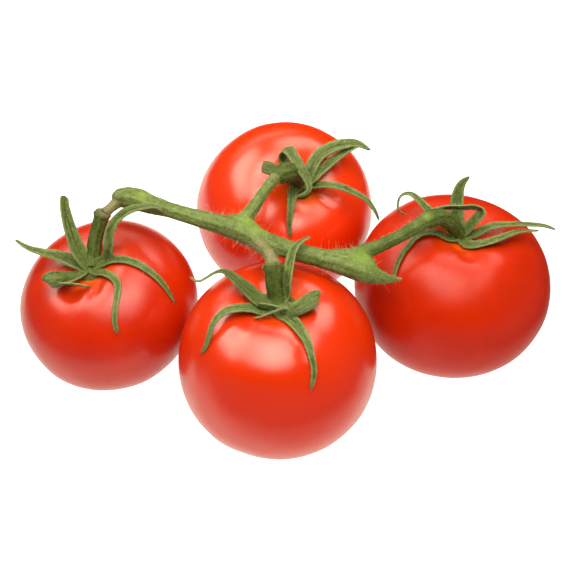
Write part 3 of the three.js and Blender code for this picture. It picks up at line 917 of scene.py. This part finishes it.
def reshape(tree, value, from_low, from_high, to_low=0.0, to_high=1.0):
    """Stretches a value from one range to another, and holds it there."""
    node = add_node(
        tree, "ShaderNodeMapRange", Value=value, From_Min=from_low, From_Max=from_high, To_Min=to_low,
        To_Max=to_high,
    )
    return node.outputs["Result"]


def mix(tree, share, first, second):
    """Mixes two colours."""
    node = tree.nodes.new("ShaderNodeMix")
    node.data_type = "RGBA"
    for socket, value in ((node.inputs[0], share), (node.inputs[6], first), (node.inputs[7], second)):
        if isinstance(value, bpy.types.NodeSocket):
            tree.links.new(value, socket)
        else:
            socket.default_value = value
    return node.outputs[2]


def skin_material(side):
    """A glossy red that is a little uneven, with fine pale specks and an orange stem end."""
    finish = SKINS[side]
    material, tree, shader = start_material(f"tomato_skin_{side}")
    height = reshape(tree, height_above_surface(tree), RED_HEIGHTS[0] * MM, RED_HEIGHTS[1] * MM)
    red = mix(tree, height, (*finish["low"], 1.0), (*finish["high"], 1.0))
    blotches = reshape(tree, noise(tree, 18.0), 0.3, 0.7, 0.0, 0.3)
    uneven = mix(tree, blotches, red, BLOTCH_RED)
    specks = reshape(tree, noise(tree, 0.6, 2.0), 0.45, 0.8, 0.0, 0.15)
    specked = mix(tree, specks, uneven, SPECK_RED)
    with_hollow = mix(tree, marks(tree, "stem_end"), specked, HOLLOW_ORANGE)
    tree.links.new(with_hollow, shader.inputs["Base Color"])
    shader.inputs["Roughness"].default_value = finish["rough"]
    shader.inputs["Specular IOR Level"].default_value = finish["shine"]
    shader.inputs["IOR"].default_value = 1.5
    shader.inputs["Subsurface Weight"].default_value = 0.12
    shader.inputs["Subsurface Radius"].default_value = (1.0, 0.2, 0.05)
    shader.inputs["Subsurface Scale"].default_value = 2.5 * MM
    bump = add_node(tree, "ShaderNodeBump", Height=noise(tree, 0.6, 2.0), Strength=0.02, Distance=0.1 * MM)
    tree.links.new(bump.outputs["Normal"], shader.inputs["Normal"])
    return material


def across_blade(tree):
    """How near a place is to the edge of its blade: 0 on the midrib and 1 on the edge."""
    across = marks(tree, "across")
    return add_node(tree, "ShaderNodeMath", {"operation": "ABSOLUTE"}, Value=across).outputs["Value"]


def streaks(tree, width):
    """Noise this many millimetres wide, drawn out along the stem or the blade."""
    grain = add_node(tree, "ShaderNodeAttribute", {"attribute_name": "grain"}).outputs["Vector"]
    node = add_node(
        tree, "ShaderNodeTexNoise", Vector=grain, Scale=1 / (width * MM), Detail=2.0, Roughness=0.5,
    )
    return node.outputs["Fac"]


def times(tree, first, second):
    """Multiplies two values."""
    node = add_node(tree, "ShaderNodeMath", {"operation": "MULTIPLY"})
    for socket, value in zip(node.inputs, (first, second)):
        if isinstance(value, bpy.types.NodeSocket):
            tree.links.new(value, socket)
        else:
            socket.default_value = value
    return node.outputs["Value"]


def green_material(name, stalk, leaf):
    """A matt green with blotches, fine lines along its length and the marks painted by place, two of which
    are painted shade.
    """
    material, tree, shader = start_material(name)
    leafy = marks(tree, "leafy")
    dark = mix(tree, leafy, stalk[0], leaf[0])
    light = mix(tree, leafy, stalk[1], leaf[1])
    pale = mix(tree, leafy, stalk[2], leaf[2])
    blotches = reshape(tree, noise(tree, 1.8, 6.0, 0.85), 0.38, 0.60)
    shade = mix(tree, blotches, dark, light)
    lines = reshape(tree, streaks(tree, 0.8), 0.42, 0.68, 0.0, 0.3)
    lined = mix(tree, lines, shade, pale)
    edge = times(tree, reshape(tree, across_blade(tree), 0.5, 0.95, 0.0, 0.4), leafy)
    edged = mix(tree, edge, lined, pale)
    rib = times(tree, reshape(tree, across_blade(tree), 0.03, 0.25, 0.35, 0.0), leafy)
    ribbed = mix(tree, rib, edged, dark)
    root = times(tree, reshape(tree, marks(tree, "along"), 0.04, 0.3, 0.75, 0.0), leafy)
    rooted = mix(tree, root, ribbed, stalk[1])
    specks = reshape(tree, noise(tree, 0.45, 2.0), 0.54, 0.68, 0.0, 0.75)
    specked = mix(tree, specks, rooted, SPECK_GREEN)
    tip = times(tree, reshape(tree, marks(tree, "along"), 0.92, 1.0, 0.0, 0.85), leafy)
    painted = mix(tree, tip, specked, TIP_BROWN)
    for mark, spots in SPOTS.items():
        painted = mix(tree, marks(tree, mark), painted, spots["tint"])
    tree.links.new(painted, shader.inputs["Base Color"])
    shader.inputs["Roughness"].default_value = 0.55
    shader.inputs["Specular IOR Level"].default_value = 0.15
    rough = add_node(
        tree, "ShaderNodeBump", Height=noise(tree, 0.35), Strength=0.6, Distance=0.15 * MM,
    )
    raised = add_node(
        tree, "ShaderNodeBump", Height=streaks(tree, 0.5), Normal=rough.outputs["Normal"], Strength=0.3,
        Distance=0.15 * MM,
    )
    tree.links.new(raised.outputs["Normal"], shader.inputs["Normal"])
    return material


def hair_material():
    material, _, shader = start_material("hairs")
    shader.inputs["Base Color"].default_value = HAIR_CREAM
    shader.inputs["Roughness"].default_value = 0.5
    shader.inputs["Subsurface Weight"].default_value = 0.3
    shader.inputs["Subsurface Scale"].default_value = 0.5 * MM
    return material


def wear(piece, material):
    piece.data.materials.clear()
    piece.data.materials.append(material)


# Dressing the truss

section = add_section()
blade = make_blade()
calyx_green = green_material("calyx_green", STALK_GREENS, LEAF_GREENS)
stem_green = green_material("stem_green", STEM_GREENS, LEAF_GREENS)
hair_cream = hair_material()
hair = make_hair()

for side in SIDES:
    skin = make_skin(side)
    wear(skin, skin_material(side))
    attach(skin, "root")
    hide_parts(f"tomato_{side}")
    calyx = make_calyx(side, blade, section, skin)
    wear(calyx, calyx_green)
    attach(calyx, "root")
    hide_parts(f"calyx_{side}")
    add_hairs(f"hairs_{side}", calyx, hair, SHORT_HAIRS, hair_cream)

rachis = make_rachis(section)
wear(rachis, stem_green)
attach(rachis, "root")
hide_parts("rachis")
add_hairs("hairs_short", rachis, hair, STEM_HAIRS, hair_cream)
add_hairs("hairs_long", rachis, hair, LONG_HAIRS, hair_cream)

bpy.data.objects.remove(section)
bpy.data.objects.remove(blade)
bpy.data.objects.remove(hair)

# Stage, lights and camera, in metres

FLOOR_SIZE = 4
FLOOR_GREY = (0.2, 0.2, 0.2, 1.0)
FLOOR_GLOW = 1.3
REFLECTED_RADIUS = 0.27
REFLECTED_HEIGHT = -0.0005          # just under the fruits
REFLECTED_MIDDLE = (-0.03, 0.03, 0)
REFLECTED_FADE = (0.11, 0.16)       # how far from its middle it starts to fade, and is dark
REFLECTED_CREAM = (0.45, 0.44, 0.40, 1.0)
REFLECTED_GLOW = 0.4
BLACK = (0.0, 0.0, 0.0, 1.0)
WARM_LIGHT = (1.0, 0.97, 0.80, 1.0)

# The softboxes: the way to each from the truss in degrees, its distance, width and height, and its
# brightness. even is how far out from its middle it is even, as a share of its size. A light for gloss is
# only mirrored in the surfaces, and a light for colour lights them without being mirrored.

SOFTBOXES = {
    "overhead_softbox": {
        "azimuth": -97, "elevation": 78, "distance": 0.8, "width": 1.09, "height": 1.09, "radiance": 10.3,
        "even": 0.09, "lights": "all",
    },
    "back_left_softbox": {
        "azimuth": 160, "elevation": 50, "distance": 1.0, "width": 1.2, "height": 0.8, "radiance": 9.0,
        "even": 0.2, "lights": "gloss",
    },
    "back_right_softbox": {
        "azimuth": 55, "elevation": 53, "distance": 1.0, "width": 1.0, "height": 0.75, "radiance": 6.0,
        "even": 0.2, "lights": "gloss",
    },
    "back_softbox": {
        "azimuth": 110, "elevation": 28, "distance": 1.1, "width": 1.5, "height": 0.5, "radiance": 1.6,
        "even": 0.2, "lights": "all",
    },
    "right_fill": {
        "azimuth": -15, "elevation": 30, "distance": 1.0, "width": 1.4, "height": 1.1, "radiance": 0.8,
        "even": 0.2, "lights": "colour",
    },
    "left_fill": {
        "azimuth": 170, "elevation": 30, "distance": 1.0, "width": 1.4, "height": 1.1, "radiance": 0.8,
        "even": 0.2, "lights": "colour",
    },
    "back_fill": {
        "azimuth": 85, "elevation": 48, "distance": 1.0, "width": 1.4, "height": 1.1, "radiance": 3.0,
        "even": 0.2, "lights": "colour",
    },
}

CAMERA_SPOT = (0.0001, -0.4953, 0.5250)
CAMERA_TILT = 45                    # degrees up from straight down
CAMERA_LENS = 123.7                 # this and the sensor are in millimetres
SENSOR_WIDTH = 36


def add_floor():
    bpy.ops.mesh.primitive_plane_add(size=FLOOR_SIZE)
    floor = bpy.context.object
    floor.name = "floor"
    floor.visible_glossy = False
    floor.visible_shadow = False
    material, _, shader = start_material("pale_floor")
    shader.inputs["Base Color"].default_value = FLOOR_GREY
    shader.inputs["Roughness"].default_value = 0.9
    shader.inputs["Specular IOR Level"].default_value = 0.0
    shader.inputs["Emission Color"].default_value = (1.0, 1.0, 1.0, 1.0)
    shader.inputs["Emission Strength"].default_value = FLOOR_GLOW
    wear(floor, material)


def add_reflected_floor():
    """What the skins reflect of the floor: bright under the truss, and dark further out."""
    bpy.ops.mesh.primitive_circle_add(
        vertices=96, radius=REFLECTED_RADIUS, fill_type="NGON", location=(0, 0, REFLECTED_HEIGHT),
    )
    floor = bpy.context.object
    floor.name = "reflected_floor"
    floor.visible_camera = False
    floor.visible_diffuse = False
    material, tree, shader = start_material("reflected_floor")
    coordinates = add_node(tree, "ShaderNodeTexCoord").outputs["Object"]
    from_middle = add_node(tree, "ShaderNodeVectorMath", {"operation": "DISTANCE"}, Vector=coordinates)
    from_middle.inputs[1].default_value = REFLECTED_MIDDLE
    fading = reshape(tree, from_middle.outputs["Value"], *REFLECTED_FADE, 1.0, 0.0)
    tree.links.new(mix(tree, fading, BLACK, REFLECTED_CREAM), shader.inputs["Base Color"])
    tree.links.new(times(tree, fading, REFLECTED_GLOW), shader.inputs["Emission Strength"])
    shader.inputs["Emission Color"].default_value = WARM_LIGHT
    shader.inputs["Roughness"].default_value = 0.9
    shader.inputs["Specular IOR Level"].default_value = 0.0
    wear(floor, material)


def add_softbox(name, box):
    """A soft light with a soft edge, which faces the truss."""
    azimuth = math.radians(box["azimuth"])
    elevation = math.radians(box["elevation"])
    flat = math.cos(elevation) * box["distance"]
    spot = Vector((
        flat * math.cos(azimuth), flat * math.sin(azimuth), math.sin(elevation) * box["distance"],
    ))
    bpy.ops.object.light_add(type="AREA", location=spot)
    light = bpy.context.object
    light.name = name
    light.visible_diffuse = box["lights"] != "gloss"
    light.visible_glossy = box["lights"] != "colour"
    light.rotation_euler = spot.to_track_quat("Z", "Y").to_euler()
    light.data.shape = "RECTANGLE"
    light.data.size = box["width"]
    light.data.size_y = box["height"]
    light.data.energy = box["radiance"] * math.pi * box["width"] * box["height"]
    light.data.color = WARM_LIGHT[:3]
    light.data.use_nodes = True
    tree = light.data.node_tree
    spread = add_node(tree, "ShaderNodeNewGeometry").outputs["Parametric"]
    from_middle = add_node(tree, "ShaderNodeVectorMath", {"operation": "DISTANCE"}, Vector=spread)
    from_middle.inputs[1].default_value = (0.5, 0.5, 0)
    soft_edge = reshape(tree, from_middle.outputs["Value"], box["even"], 0.5, 1.0, 0.0)
    tree.links.new(soft_edge, tree.nodes["Emission"].inputs["Strength"])


def add_world():
    """A white world that only the camera sees."""
    world = bpy.data.worlds.new("surroundings")
    world.use_nodes = True
    world.node_tree.nodes["Background"].inputs["Color"].default_value = (1.0, 1.0, 1.0, 1.0)
    world.node_tree.nodes["Background"].inputs["Strength"].default_value = 1.0
    world.cycles_visibility.diffuse = False
    world.cycles_visibility.glossy = False
    bpy.context.scene.world = world


def add_camera():
    bpy.ops.object.camera_add(location=CAMERA_SPOT, rotation=(math.radians(CAMERA_TILT), 0, 0))
    camera = bpy.context.object
    camera.data.lens = CAMERA_LENS
    camera.data.sensor_width = SENSOR_WIDTH
    bpy.context.scene.camera = camera


add_floor()
add_reflected_floor()
for name, box in SOFTBOXES.items():
    add_softbox(name, box)
add_world()
add_camera()
bpy.context.scene.view_settings.view_transform = "Standard"
